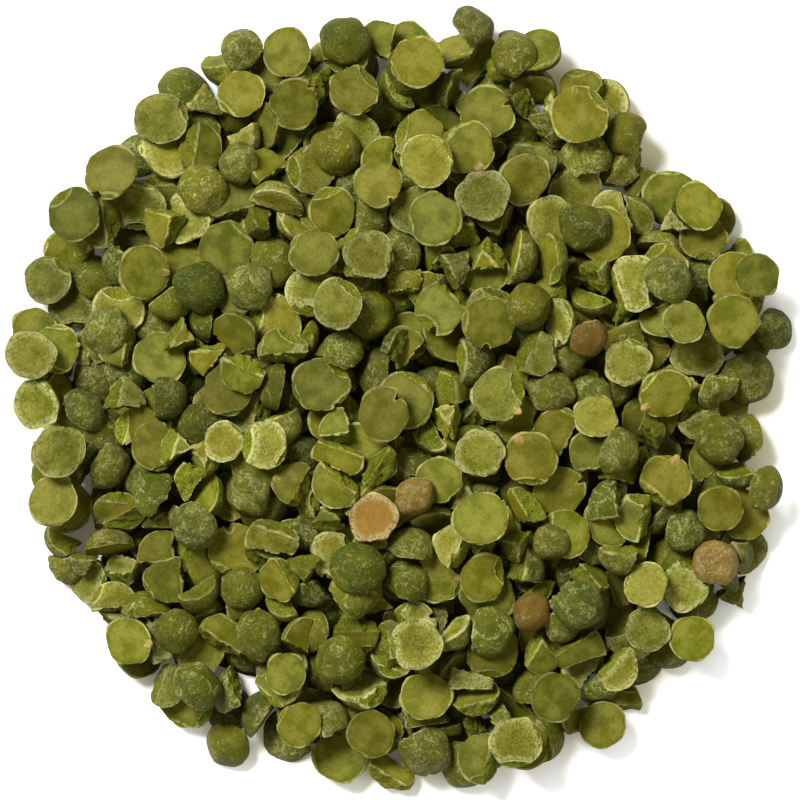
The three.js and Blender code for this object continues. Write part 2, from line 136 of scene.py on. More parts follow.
# The shade, warmth and dustiness of the peas that aren't like the rest, each from 0 to 1.
FLAT_LOOKS = {
    0: (0.6, 0.9, 0.3), 2: (0.7, 0.8, 0.6), 4: (0.45, 0.4, 0.75), 5: (0.6, 0.9, 0.5),
    6: (0.8, 0.9, 0.7), 16: (0.5, 0.4, 0.75), 23: (0.5, 0.2, 0.7), 25: (0.8, 0.8, 0.7),
    26: (0.75, 0.9, 0.9), 31: (0.8, 0.25, 0.2), 33: (0.85, 0.8, 0.7), 35: (0.6, 0.7, 1.0),
}
DOME_LOOKS = {
    1: (0.5, 0.5, 0.95), 2: (0.55, 0.9, 0.2), 3: (0.3, 0.3, 0.3), 4: (0.4, 1.0, 0.1),
    5: (0.6, 0.4, 0.95), 7: (0.25, 0.0, 0.05), 8: (0.55, 0.4, 0.95), 9: (0.5, 0.3, 0.85),
    11: (0.45, 0.9, 0.0), 12: (0.5, 0.4, 0.85), 13: (0.4, 0.6, 0.3), 14: (0.6, 0.4, 0.9),
    16: (0.5, 0.3, 0.85), 18: (0.5, 0.1, 0.1), 23: (0.45, 0.1, 0.85), 26: (0.5, 0.7, 0.95),
}
TAN_FLAT_LOOKS = {0: (0.5, 0.3, 1.0)}
TAN_DOME_LOOKS = {0: (0.6, 0.6, 0.9), 1: (0.35, 0.2, 0.2), 2: (0.55, 0.9, 0.6), 3: (0.35, 0.1, 0.1)}

# ---- Helpers

RANDOM_FACTOR = 48271
RANDOM_RANGE = 2147483647


class Random:
    """A whole-number random sequence, the same one as the solid's."""

    def __init__(self, seed):
        self.state = seed

    def next(self):
        self.state = (self.state * RANDOM_FACTOR) % RANDOM_RANGE
        return self.state / RANDOM_RANGE

    def between(self, low, high):
        return low + (high - low) * self.next()

    def around(self, spread):
        return self.between(-spread, spread)


def turned(facing, tilt, spin):
    """A turn: spun about Z, tilted about Y, then faced about Z."""
    ca, sa = math.cos(facing), math.sin(facing)
    ct, st = math.cos(tilt), math.sin(tilt)
    cs, ss = math.cos(spin), math.sin(spin)
    return np.array([
        [ca * ct * cs - sa * ss, -ca * ct * ss - sa * cs, ca * st],
        [sa * ct * cs + ca * ss, -sa * ct * ss + ca * cs, sa * st],
        [-st * cs, st * ss, ct],
    ])


def tipped(turn, heading, angle):
    """The same turn, tipped further about a level axis."""
    x, y = math.cos(heading), math.sin(heading)
    c, s = math.cos(angle), math.sin(angle)
    k = 1 - c
    return np.array([
        [c + x * x * k, x * y * k, y * s],
        [x * y * k, c + y * y * k, -x * s],
        [-y * s, x * s, c],
    ]) @ turn


# ---- One piece of pea: a flat face at z = 0, a dome below it, and flat breaks

# The middles of the cells of a grid over the piece's box, from -1 to 1 across and -1 to 0 down.
MIDDLE_STEPS = 6
ACROSS = (np.arange(2 * MIDDLE_STEPS) + 0.5) / MIDDLE_STEPS - 1
DOWN = -(np.arange(MIDDLE_STEPS) + 0.5) / MIDDLE_STEPS
GRID = np.stack(np.meshgrid(ACROSS, ACROSS, DOWN, indexing="ij"), -1).reshape(-1, 3)


def make_piece(random, kind, radius):
    """One piece of that kind: its three axes, its cuts and its centre of mass."""
    axes = (
        radius * random.between(*LONG_AXIS),
        radius * random.between(*SHORT_AXIS),
        radius * DOME_SHARE * random.between(*DOME_AXIS),
    )
    cuts = []
    for heading, distance, lean in BREAKS[kind][1]:
        h = math.radians(heading + random.around(HEADING_SPREAD))
        l = math.radians(lean + random.around(LEAN_SPREAD))
        d = radius * (distance + random.around(DISTANCE_SPREAD))
        cuts.append((math.cos(h) * math.cos(l), math.sin(h) * math.cos(l), math.sin(l), d))
    return {"kind": kind, "axes": axes, "cuts": cuts, "middle": middle_of(axes, cuts)}


def middle_of(axes, cuts):
    """The centre of mass, from a grid of points over the piece's box."""
    points = GRID * axes
    inside = (GRID ** 2).sum(1) <= 1
    for nx, ny, nz, distance in cuts:
        inside &= points @ (nx, ny, nz) <= distance
    return points[inside].mean(0)


# ---- The mound that the peas are piled up to


def outline(heading):
    """How far out the heap's edge is on one heading."""
    share = 1
    for count, size, phase in OUTLINE_WAVES:
        share += size * math.cos(count * heading + math.radians(phase))
    return HEAP_RADIUS * share


def mound(x, y):
    """The height that the heap is piled up to over a place."""
    share = math.hypot(x, y) / outline(math.atan2(y, x))
    return HEAP_HEIGHT * max(0, 1 - share ** MOUND_POWER)


# ---- The heap

CELL = 0.25
FIELD = 52  # half of the height map's side
COUNT = int(2 * FIELD / CELL)
REACH = 16  # cells from a piece's middle to the edge of its window
WINDOW = np.arange(-REACH, REACH + 1)

SETTLE = {"rounds": 12, "tries": 10, "slide": 0.9, "tip": 0.35, "spring": 0.12}
SETTLE_IN_PLACE = {"rounds": 12, "tries": 10, "slide": 0.6, "tip": 0.25, "spring": 0.6}
BEDDING = 0.25  # how far a piece's dents let it sink into the one that it lands on
RIM_INSET = 0.75 * PEA_RADIUS  # of the outermost peas' middles from the outline
BARE = 0.5  # a spot lower than this shows the floor
BARE_BONUS = 4  # extra room that such a spot counts as
COVER_COST = 0.012  # millimetres of height for each cell of a marked pea that is covered
LEVEL_REACH = 1.5  # how far round a spot its level is read
LEVEL_STEPS = (-LEVEL_REACH, 0, LEVEL_REACH)
SPOTS = 6  # spots that a pea's place is picked from
MOST_MISSES = 80  # peas in a row that find no rest before a round of filling ends
LEAST_RISE = 1e-9


class Heap:
    """The heap as a height map from above, with the pieces that lie in it."""

    def __init__(self):
        self.top = np.zeros((COUNT, COUNT))
        self.marked = np.zeros((COUNT, COUNT))
        self.owner = np.full((COUNT, COUNT), -1)
        self.pieces = []

    def over(self, piece, xs, ys, turns):
        """The cells round a piece at height zero, its low and high skin, and which it covers."""
        column = np.floor((xs + FIELD) / CELL).astype(int)[:, None, None] + WINDOW[None, :, None]
        line = np.floor((ys + FIELD) / CELL).astype(int)[:, None, None] + WINDOW[None, None, :]
        dx = (column + 0.5) * CELL - FIELD - xs[:, None, None]
        dy = (line + 0.5) * CELL - FIELD - ys[:, None, None]
        t = turns[..., None, None]
        o = [t[:, 0, n] * dx + t[:, 1, n] * dy for n in range(3)]
        up = [t[:, 2, n] for n in range(3)]
        scale = [1 / axis for axis in piece["axes"]]
        s = [o[n] * scale[n] for n in range(3)]
        slope = [up[n] * scale[n] for n in range(3)]
        a = slope[0] ** 2 + slope[1] ** 2 + slope[2] ** 2
        b = s[0] * slope[0] + s[1] * slope[1] + s[2] * slope[2]
        d = b * b - a * (s[0] * s[0] + s[1] * s[1] + s[2] * s[2] - 1)
        root = np.sqrt(np.maximum(d, 0))
        low = (-b - root) / a
        high = (-b + root) / a
        for nx, ny, nz, distance in ((0, 0, 1, 0), *piece["cuts"]):
            rise = nx * up[0] + ny * up[1] + nz * up[2]
            rise = np.where(np.abs(rise) < LEAST_RISE, LEAST_RISE, rise)
            wall = (distance - (nx * o[0] + ny * o[1] + nz * o[2])) / rise
            high = np.where(rise > 0, np.minimum(high, wall), high)
            low = np.where(rise > 0, low, np.maximum(low, wall))
        return column, line, low, high, (d > 0) & (low < high)

    def drop(self, piece, xs, ys, turns):
        """Where the piece comes to rest straight below each place, and what each rest costs."""
        column, line, low, _, inside = self.over(piece, xs, ys, turns)
        z = np.where(inside, self.top[column, line] - low, -np.inf).max((1, 2)) - BEDDING
        covered = np.where(inside, self.marked[column, line], 0).sum((1, 2))
        mx, my, mz = piece["middle"]
        centre = z + turns[:, 2, 0] * mx + turns[:, 2, 1] * my + turns[:, 2, 2] * mz
        return z, centre + COVER_COST * covered

    def first_rest(self, piece, x, y, turn):
        """A rest as x, y, z, turn and cost, where the piece is dropped and hasn't shifted yet."""
        z, cost = self.drop(piece, np.array([x]), np.array([y]), turn[None])
        return x, y, z[0], turn, cost[0]

    def settle(self, random, piece, first, rounds, tries, slide, tip, spring):
        """Lets a piece shift and tip towards a lower rest, in smaller and smaller steps."""
        rest = first
        for n in range(rounds):
            step = 1 - n / rounds
            xs, ys, turns = [], [], []
            for _ in range(tries):
                heading = random.between(0, TURN)
                shift = slide * step * random.next()
                axis = random.between(0, TURN)
                angle = tip * step * random.next()
                xs.append(rest[0] + shift * math.cos(heading))
                ys.append(rest[1] + shift * math.sin(heading))
                turns.append(tipped(rest[3], axis, angle))
            xs, ys, turns = np.array(xs), np.array(ys), np.array(turns)
            z, cost = self.drop(piece, xs, ys, turns)
            cost += spring * ((xs - first[0]) ** 2 + (ys - first[1]) ** 2)
            best = int(np.argmin(cost))
            if cost[best] < rest[4]:
                rest = xs[best], ys[best], z[best], turns[best], cost[best]
        return rest

    def place(self, piece, rest, marks=False):
        """Adds the piece to the heap and to its height map."""
        x, y, z, turn, _ = rest
        column, line, _, high, inside = self.over(piece, np.array([x]), np.array([y]), turn[None])
        column, line = np.broadcast_arrays(column, line)
        i, j, top = column[inside], line[inside], z + high[inside]
        higher = top > self.top[i, j]
        self.top[i[higher], j[higher]] = top[higher]
        self.owner[i[higher], j[higher]] = len(self.pieces)
        self.marked[i, j] = marks
        self.pieces.append({**piece, "place": np.array([x, y, z]), "turn": turn})

    def height(self, x, y):
        return self.top[math.floor((x + FIELD) / CELL), math.floor((y + FIELD) / CELL)]

    def level(self, x, y):
        """The heap's mean height around a place, counted higher over the marked peas."""
        total = 0
        for dx in LEVEL_STEPS:
            for dy in LEVEL_STEPS:
                i = math.floor((x + dx + FIELD) / CELL)
                j = math.floor((y + dy + FIELD) / CELL)
                total += self.top[i, j] + self.marked[i, j]
        return total / len(LEVEL_STEPS) ** 2


def pick_kind(random):
    """A kind of piece, by its share of all."""
    left = random.next()
    for kind, (share, _) in BREAKS.items():
        left -= share
        if left <= 0:
            return kind
    return "half"


def pick_turn(random):
    """How a piece lies before it settles."""
    facing = random.between(0, TURN)
    way = random.next()
    lie = 0
    while lie < len(LIES) - 1 and way > LIES[lie][0]:
        way -= LIES[lie][0]
        lie += 1
    tilt = random.between(*LIES[lie][1:])
    return turned(facing, tilt, random.between(0, TURN))


def pick_spot(random):
    """A place within the heap's outline."""
    while True:
        x = random.between(-FIELD, FIELD)
        y = random.between(-FIELD, FIELD)
        if math.hypot(x, y) < outline(math.atan2(y, x)) - RIM_INSET:
            return x, y


def fill(heap, random, depth):
    """Adds peas where the heap is lowest under the mound or bare, until none is wanted."""
    misses = 0
    while misses < MOST_MISSES:
        best = (-math.inf, 0, 0)
        for _ in range(SPOTS):
            x, y = pick_spot(random)
            bonus = BARE_BONUS if heap.height(x, y) < BARE else 0
            room = mound(x, y) - depth - heap.level(x, y) + bonus
            best = max(best, (room, x, y), key=lambda spot: spot[0])
        room, x, y = best
        kind = pick_kind(random)
        piece = make_piece(random, kind, PEA_RADIUS * random.between(*SIZE_SPREAD))
        first = heap.first_rest(piece, x, y, pick_turn(random))
        highest = max(mound(x, y) + HIGHEST_REST, HIGHEST_RIM_REST)
        misses += 1
        if room > 0 and first[4] < highest + SETTLING:
            rest = heap.settle(random, piece, first, **SETTLE)
            if rest[4] < highest:
                heap.place(piece, rest)
                misses = 0


def lay_marked(heap, random, places, dome_up, tan=False, marks=None, looks=None):
    """Lays the peas that stand out at their own places."""
    for number, (x, y, radius) in enumerate(places):
        piece = make_piece(random, "half", radius)
        lean = random.between(0, MARKED_TILT)
        facing = random.between(0, TURN)
        turn = turned(facing, math.pi - lean if dome_up else lean, random.between(0, TURN))
        first = heap.first_rest(piece, x, y, turn)
        heap.place(piece, heap.settle(random, piece, first, **SETTLE_IN_PLACE), marks=True)
        heap.pieces[-1]["tan"] = tan
        heap.pieces[-1]["marks"] = (marks or {}).get(number, ())
        heap.pieces[-1]["look"] = (looks or {}).get(number)


def pour_heap():
    """The hidden peas, those that stand out, and the others round them."""
    heap = Heap()
    random = Random(SEED)
    fill(heap, random, HIDDEN_DEPTH)
    lay_marked(heap, random, FLAT_UP, dome_up=False, marks=FLAT_MARKS, looks=FLAT_LOOKS)
    lay_marked(heap, random, DOME_UP, dome_up=True, looks=DOME_LOOKS)
    lay_marked(heap, random, TAN_FLAT_UP, dome_up=False, tan=True, looks=TAN_FLAT_LOOKS)
    lay_marked(heap, random, TAN_DOME_UP, dome_up=True, tan=True, looks=TAN_DOME_LOOKS)
    fill(heap, random, TOP_DEPTH)
    return heap


# ---- The shape of one pea, as a distance in every direction from its middle

FLAT, DOME, BREAK, BITE, NUB = range(5)  # what each of a pea's faces belongs to

# A higher power gives a sharper crease between two surfaces.
CREASE_POWER = 40
FACET_POWER = 18

# How uneven a pea is: its outline's waves and the share of the radius that they take, the depth
# of the flat face's dish in millimetres, and the dome's slow lumps and fine ones, as shares.
OUTLINE_COUNTS = range(2, 8)
OUTLINE_SIZE = 0.034
DISH = (-0.12, 0.22)
LUMPS = (0.008, 0.022)
FINE_LUMPS = 0.008
FACE_WAVES = 0.045
BITE_WAVES = 0.03
BREAK_WAVES, BREAK_STEPS = 0.15, 0.08

# Facets, over the dome's reach on their heading, chips along the rim, and the share of the
# peas that has each mark at random.
FEWEST_FACETS, MOST_FACETS = 2, 6
FACET_PLACE = (0.84, 0.97)
MOST_BEVELS = 2
MARK_SHARES = (("bite", 0.5), ("notch", 0.22), ("nub", 0.24))

# The eggs that cut chips out of the rim: height in millimetres, the share of it that goes below
# the flat face, then place and half widths across and along the rim, over the pea's radius.
CRESCENT = ((0.8, 1.3), (0.5, 0.85), (0.88, 1.02), (0.3, 0.5), (0.5, 0.9))
BEVEL = ((0.5, 0.8), (0.45, 0.8), (0.98, 1.08), (0.16, 0.3), (0.6, 1.0))
NOTCH_ACROSS, NOTCH_ALONG, NOTCH_TALL = (0.2, 0.38), (0.08, 0.18), 0.6
NUB_OUT, NUB_SIZE, NUB_SHAPE = (0.78, 0.9), (0.13, 0.2), (1, 0.8, 0.6)

# Limits, in millimetres, that keep a pea's skin clear of its middle and its numbers finite.
LEAST_SKIN = 0.25
LEAST_BITE = 0.4
MOST_REACH = 20
GRAZING = 0.02  # a ray that rises less than this towards a flat surface misses it
LEAST_SLOPE = 1e-6


def soft_least(rows, power):
    """The least of several distances, with a rounded step from one to the next."""
    return ((1 / np.maximum(rows, 0.1)) ** power).sum(0) ** (-1 / power)


def waves(points, seed, count, length):
    """A smooth random field over points, from about -1 to 1, with waves of about that length."""
    rng = np.random.default_rng(seed)
    directions = rng.normal(size=(count, 3))
    directions /= np.linalg.norm(directions, axis=1, keepdims=True)
    rates = TURN / (length * rng.uniform(0.7, 1.5, count))
    phases = rng.uniform(0, TURN, count)
    return np.sin(points @ (directions * rates[:, None]).T + phases).sum(1) / math.sqrt(count)


def into_egg(vectors, egg):
    """Vectors turned with an egg and taken over its radii."""
    _, radii, heading = egg
    c, n = math.cos(heading), math.sin(heading)
    return vectors @ np.array([[c, -n, 0], [n, c, 0], [0, 0, 1]]) / radii


def egg_roots(start, directions, egg):
    """Where rays from start enter and leave an egg, with infinity for those that miss."""
    d = into_egg(directions, egg)
    s = into_egg(start - egg[0], egg)
    a = (d * d).sum(1)
    b = d @ s
    inside = b * b - a * (s @ s - 1)
    root = np.sqrt(np.maximum(inside, 0))
    hit = (inside > 0) & (-b + root > 0)
    return np.where(hit, (-b - root) / a, np.inf), np.where(hit, (-b + root) / a, -np.inf)


def egg_share(points, egg):
    """How far out points are in an egg: one on its skin."""
    return np.linalg.norm(into_egg(points - egg[0], egg), axis=1)


def at_rim(distance, heading, z=0):
    return np.array((distance * math.cos(heading), distance * math.sin(heading), z))


class PeaShape:
    """What makes one pea unlike the next: its outline, dish, facets, bites, notches and nubs.

    Bites and nubs are eggs, each a centre, three radii and the heading of the first of them.
    """

    def __init__(self, piece, seed):
        rng = np.random.default_rng(seed)
        self.piece = piece
        self.radius, self.middle = piece["axes"][0], piece["middle"]
        self.seed = seed
        self.outline = [(k, rng.normal() * OUTLINE_SIZE / math.sqrt(k - 1), rng.uniform(0, TURN))
                        for k in OUTLINE_COUNTS]
        self.dish = rng.uniform(*DISH)
        self.lump = rng.uniform(*LUMPS)
        self.facets = [self.facet(rng) for _ in range(rng.integers(FEWEST_FACETS, MOST_FACETS + 1))]
        marks = self.marks(rng)
        self.bites = [self.chip(rng, heading, CRESCENT) for kind, heading in marks if kind == "bite"]
        self.bites += [self.notch(rng, heading) for kind, heading in marks if kind == "notch"]
        self.bites += [self.chip(rng, rng.uniform(0, TURN), BEVEL)
                       for _ in range(rng.integers(0, MOST_BEVELS + 1))]
        self.nubs = [self.nub(rng, heading) for kind, heading in marks if kind == "nub"]

    def marks(self, rng):
        """The pea's own bites, notches and nubs, or some at random, with headings in radians."""
        marks = self.piece.get("marks")
        if marks is not None:
            return [(kind, self.own_heading(math.radians(heading))) for kind, heading in marks]
        marks = [(kind, math.radians(rng.uniform(0, 360))) for kind, share in MARK_SHARES
                 if rng.random() < share]
        if len(self.piece["cuts"]) > 1:
            marks = [mark for mark in marks if mark[0] == "nub"]
        return marks

    def own_heading(self, heading):
        """A heading seen from above, as one about the pea's own axis."""
        x, y, _ = self.piece["turn"].T @ (math.cos(heading), math.sin(heading), 0)
        return math.atan2(y, x)

    def facet(self, rng):
        """A flattened spot on the dome, where the pea lay against the next one in its pod."""
        normal = rng.normal(size=3)
        normal[2] = -abs(normal[2]) - 0.3
        normal /= np.linalg.norm(normal)
        return normal, np.linalg.norm(normal * self.piece["axes"]) * rng.uniform(*FACET_PLACE)

    def chip(self, rng, heading, sizes):
        """A crescent step, or a long narrow chip, at the edge of the flat face."""
        tall, deep, out, across, along = [rng.uniform(*spread) for spread in sizes]
        centre = at_rim(self.radius * out, heading, tall - tall * deep)
        return centre, np.array((across * self.radius, along * self.radius, tall)), heading

    def notch(self, rng, heading):
        """A narrow cleft in the rim."""
        radii = (rng.uniform(*NOTCH_ACROSS), rng.uniform(*NOTCH_ALONG), NOTCH_TALL)
        return at_rim(self.radius, heading), np.array(radii) * self.radius, heading

    def nub(self, rng, heading):
        """What is left of the germ."""
        out = self.radius * rng.uniform(*NUB_OUT)
        size = self.radius * rng.uniform(*NUB_SIZE)
        return at_rim(out, heading), np.array(NUB_SHAPE) * size, heading

    def egg(self, directions):
        """The dome's whole egg, with its uneven outline, slow lumps and facets."""
        axes = np.array(self.piece["axes"])
        _, t = egg_roots(self.middle, directions, (np.zeros(3), axes, 0))
        points = self.middle + directions * t[:, None]
        angle = np.arctan2(points[:, 1], points[:, 0])
        near_rim = np.clip(1 + 0.8 * points[:, 2] / axes[2], 0, 1)
        uneven = sum(size * np.cos(k * angle + phase) for k, size, phase in self.outline)
        fine = FINE_LUMPS * waves(points, self.seed + 1, 6, 0.9)
        t = t * (1 + near_rim * (uneven + fine) + self.lump * waves(points, self.seed + 2, 6, 3.2))
        flats = [(distance - self.middle @ normal) / np.maximum(directions @ normal, 0.05)
                 for normal, distance in self.facets]
        return soft_least([t, *flats], FACET_POWER)

    def meet(self, directions, normal, distance):
        """How straight each ray meets a flat surface, how far off and at which point."""
        toward = directions @ normal
        t = (distance - self.middle @ normal) / np.maximum(toward, LEAST_SLOPE)
        t = np.where(toward > GRAZING, t, np.inf)
        reached = np.where(t < MOST_REACH, t, 0)
        return toward, t, self.middle + directions * reached[:, None]

    def face(self, directions):
        """The flat face, with its dish and slow waves."""
        toward, t, points = self.meet(directions, np.array((0, 0, 1)), 0)
        share = np.minimum((points[:, :2] ** 2).sum(1) / self.radius ** 2, 1.2)
        height = -self.dish * (1 - share) + FACE_WAVES * waves(points, self.seed + 3, 6, 2.6)
        return t + height / np.maximum(toward, GRAZING) * (t < MOST_REACH)

    def cut(self, directions, cut):
        """A break, with its waves and steps."""
        toward, t, points = self.meet(directions, np.array(cut[:3]), cut[3])
        relief = BREAK_WAVES * waves(points, self.seed + 4, 7, 1.7)
        relief = relief + BREAK_STEPS * waves(points, self.seed + 5, 8, 0.7)
        return t + relief / np.maximum(toward, 0.15) * (t < MOST_REACH)

    def surfaces(self, directions):
        """The distance to the pea's skin in each direction, and which surface it is."""
        rows = [self.face(directions), self.egg(directions)]
        sides = [FLAT, DOME]
        for cut in self.piece["cuts"]:
            rows.append(self.cut(directions, cut))
            sides.append(BREAK)
        rows = np.maximum(np.array(rows), LEAST_SKIN)
        side = np.array(sides)[rows.argmin(0)]
        t = soft_least(rows, CREASE_POWER)
        rough = 1 + BITE_WAVES * waves(directions * PEA_RADIUS, self.seed + 6, 6, 1.1)
        for bite in self.bites:
            enters, _ = egg_roots(self.middle, directions, bite)
            enters = np.maximum(enters * rough, LEAST_BITE)
            side = np.where(enters < t, BITE, side)
            t = np.minimum(t, enters)
        for nub in self.nubs:
            enters, leaves = egg_roots(self.middle, directions, nub)
            on_nub = (leaves > t) & (enters < t) & (side != BREAK)
            side = np.where(on_nub, NUB, side)
            t = np.where(on_nub, leaves, t)
        return t, side


# ---- Meshes

FINE_TRIANGLES = 1400  # of a pea that shows well
PLAIN_TRIANGLES = 320  # of one that hardly shows
SHOWS_WELL = 24  # cells
SMOOTH_DUST = 0.3  # a pea that is less dusty than this has all its skin
SHARP_CREASE = math.radians(38)
BITE_SLOPE = 1.5  # a bite meets the flat face at a low angle, so its crease is this much nearer
BALL_STEPS = 5
FAR = 9.0  # how far off a break or nub is on a pea that has none
FACE_UP_RISE = 0.2  # of the flat face's normal, on a pea that counts as face up
BROKEN_NAMES = {
    "chipped": "chipped_halves", "quarter": "quarters", "wedge": "wedges", "slab": "slabs",
    "shard": "shards",
}


def ball():
    """A fine even ball, as directions from its middle and triangles."""
    bm = bmesh.new()
    bmesh.ops.create_icosphere(bm, subdivisions=BALL_STEPS, radius=1)
    directions = np.array([v.co[:] for v in bm.verts])
    triangles = np.array([[v.index for v in f.verts] for f in bm.faces])
    bm.free()
    return directions / np.linalg.norm(directions, axis=1, keepdims=True), triangles


def add_object(name, data):
    thing = bpy.data.objects.new(name, data)
    bpy.context.scene.collection.objects.link(thing)
    return thing


def triangle_mesh(name, points, triangles):
    mesh = bpy.data.meshes.new(name)
    mesh.vertices.add(len(points))
    mesh.vertices.foreach_set("co", points.astype(np.float32).ravel())
    mesh.loops.add(3 * len(triangles))
    mesh.loops.foreach_set("vertex_index", triangles.astype(np.int32).ravel())
    mesh.polygons.add(len(triangles))
    mesh.polygons.foreach_set("loop_start", np.arange(0, 3 * len(triangles), 3, dtype=np.int32))
    mesh.polygons.foreach_set("use_smooth", np.ones(len(triangles), dtype=bool))
    mesh.update(calc_edges=True)
    return mesh


class Thinner:
    """Takes triangles out of a pea's mesh where it is flat or smooth, and keeps its creases."""

    def __init__(self):
        self.directions, triangles = ball()
        self.mesh = triangle_mesh("pea_blank", self.directions, triangles)
        self.object = add_object("pea_blank", self.mesh)
        self.modifier = self.object.modifiers.new("thin", "DECIMATE")
        self.full = len(triangles)

    def thin(self, points, triangles):
        self.mesh.vertices.foreach_set("co", points.astype(np.float32).ravel())
        self.mesh.update()
        self.modifier.ratio = triangles / self.full
        evaluated = self.object.evaluated_get(bpy.context.evaluated_depsgraph_get())
        mesh = evaluated.to_mesh()
        points = np.empty(3 * len(mesh.vertices), dtype=np.float32)
        mesh.vertices.foreach_get("co", points)
        mesh.calc_loop_triangles()
        corners = np.empty(3 * len(mesh.loop_triangles), dtype=np.int32)
        mesh.loop_triangles.foreach_get("vertices", corners)
        evaluated.to_mesh_clear()
        return points.reshape(-1, 3).astype(float), corners.reshape(-1, 3)

    def remove(self):
        bpy.data.objects.remove(self.object)
        bpy.data.meshes.remove(self.mesh)


def pea_mesh(thinner, piece, seed, triangles):
    """One pea, not yet turned and placed.

    Returns its points and triangles, the side of each face, and how far each point is from a
    break and from a nub.
    """
    shape = PeaShape(piece, seed)
    distance, _ = shape.surfaces(thinner.directions)
    points = piece["middle"] + thinner.directions * distance[:, None]
    points, corners = thinner.thin(points, triangles)
    toward = points[corners].mean(1) - piece["middle"]
    toward /= np.linalg.norm(toward, axis=1, keepdims=True)
    _, side = shape.surfaces(toward)
    return points, corners, side, cut_distance(shape, points), germ_share(shape, points)


def cut_distance(shape, points):
    """How far each point is from the nearest break or bite, in millimetres."""
    far = np.full(len(points), FAR)
    for nx, ny, nz, distance in shape.piece["cuts"]:
        far = np.minimum(far, np.abs(distance - points @ (nx, ny, nz)))
    for bite in shape.bites:
        far = np.minimum(far, np.abs(egg_share(points, bite) - 1) * BITE_SLOPE * min(bite[1]))
    return far


def germ_share(shape, points):
    """How far out of the nearest nub each point is, over the nub's size: one on its skin."""
    shares = [egg_share(points, nub) for nub in shape.nubs]
    return np.min(shares, axis=0) if shares else np.full(len(points), FAR)


def group_of(piece):
    """The name of the kind that a piece belongs to."""
    if piece.get("tan"):
        return "tan_peas"
    if piece["kind"] != "half":
        return BROKEN_NAMES[piece["kind"]]
    if piece["turn"][2, 2] > FACE_UP_RISE:
        return "halves_face_up"
    return "skinned_halves" if piece["look"][2] < SMOOTH_DUST else "halves_dome_up"


# What the mesh tells the material: name, type, domain and the field that holds it.
LAYERS = (
    ("unit", "FLOAT_VECTOR", "POINT", "vector"),
    ("cut", "FLOAT", "POINT", "value"),
    ("germ", "FLOAT", "POINT", "value"),
    ("look", "FLOAT_COLOR", "POINT", "color"),
    ("side", "FLOAT", "FACE", "value"),
)


def join_peas(name, peas, material):
    """One object from many peas, each with its own look."""
    rows = []
    count = 0
    for piece, local, corners, side, cut, germ in peas:
        placed = local @ piece["turn"].T + piece["place"]
        placed[:, 2] = np.maximum(placed[:, 2], 0)  # no pea goes below the floor
        unit = local / piece["axes"]
        look = np.tile([*piece["look"], 1], (len(local), 1))
        rows.append((placed * MM, corners + count, unit, cut, germ, look, side))
        count += len(local)
    points, triangles, *values = [np.concatenate(column) for column in zip(*rows)]
    mesh = triangle_mesh(name, points, triangles)
    for (layer, kind, domain, field), value in zip(LAYERS, values):
        attribute = mesh.attributes.new(layer, kind, domain)
        attribute.data.foreach_set(field, value.astype(np.float32).ravel())
    mesh.set_sharp_from_angle(angle=SHARP_CREASE)
    mesh.materials.append(material)
    return add_object(name, mesh)


# ---- Materials

# How bright an open white surface that faces up is under the studio light.
STUDIO_LIGHT = 2.0

# The peas' colours as the photo shows them where they are well lit, in 0 to 255 numbers. The fourth
# of each is the colour of a painted sheen on the flat faces, used too for paler mottles on the dome.
GREEN = {
    "flat": (106, 115, 5), "flat_warm": (136, 126, 18), "flat_pale": (188, 182, 100),
    "film": (144, 143, 56), "dome": (79, 92, 11), "dome_warm": (114, 111, 16),
    "scuff": (200, 200, 130), "break": (107, 122, 10), "grain": (184, 186, 92),
    # The edge colour is for pale edges: partly chalky wear, partly a painted highlight.
    "edge": (214, 211, 140), "nub": (206, 172, 112),
}
TAN = {
    "flat": (170, 130, 52), "flat_warm": (176, 138, 58), "flat_pale": (178, 140, 68),
    "film": (172, 134, 60), "dome": (134, 104, 36), "dome_warm": (148, 120, 44),
    "scuff": (208, 192, 142), "break": (146, 124, 46), "grain": (190, 168, 96),
    "edge": (224, 204, 152), "nub": (196, 164, 98),
}
CRUMBS, PALE_CRUMBS = (88, 80, 8), (128, 118, 26)

# Noises over a pea: scale, detail, roughness and distortion.
NOISES = {
    "broad": (1.3, 2), "peel": (1.5, 3, 0.5, 1.2), "patch": (2.4, 3, 0.6, 0.5),
    "fold": (2.8, 2, 0.5, 1.5), "mottle": (8, 4, 0.65, 0.3), "speck": (15, 2, 0.6),
    "grain": (24, 3, 0.7),
}
NOISE_SPREAD = (61, 47, 53)  # how far apart the peas' looks set them in the noises
LINE_WIDTH = 0.03
SATIN, FLOURY = 0.6, 0.88  # roughness
DARKEST, LIGHTEST = 0.62, 1.3  # brightness of the peas, over their colours
PEA_RELIEF = 0.22 * MM
CRUMB_RELIEF = 0.6 * MM

TABLE, TABLE_GRAIN = (0.86, 0.86, 0.86, 1), (0.9, 0.9, 0.895, 1)
# The floor's glow is painted light: almost none under the heap, and round it enough to wash out the
# heap's cast shadow and the warm tint of the shade.
SHADED_GLOW, CLEAR_GLOW = (0.045, 0.045, 0.05, 1), (0.56, 0.585, 0.8, 1)
GLOW_FROM, GLOW_TO = 0.0435, 0.054  # metres from the heap's middle


def seen(red, green, blue):
    """The base colour of what looks this colour under the studio light."""
    channels = [c / 255 for c in (red, green, blue)]
    linear = [c / 12.92 if c <= 0.04045 else ((c + 0.055) / 1.055) ** 2.4 for c in channels]
    return (*[c / STUDIO_LIGHT for c in linear], 1)


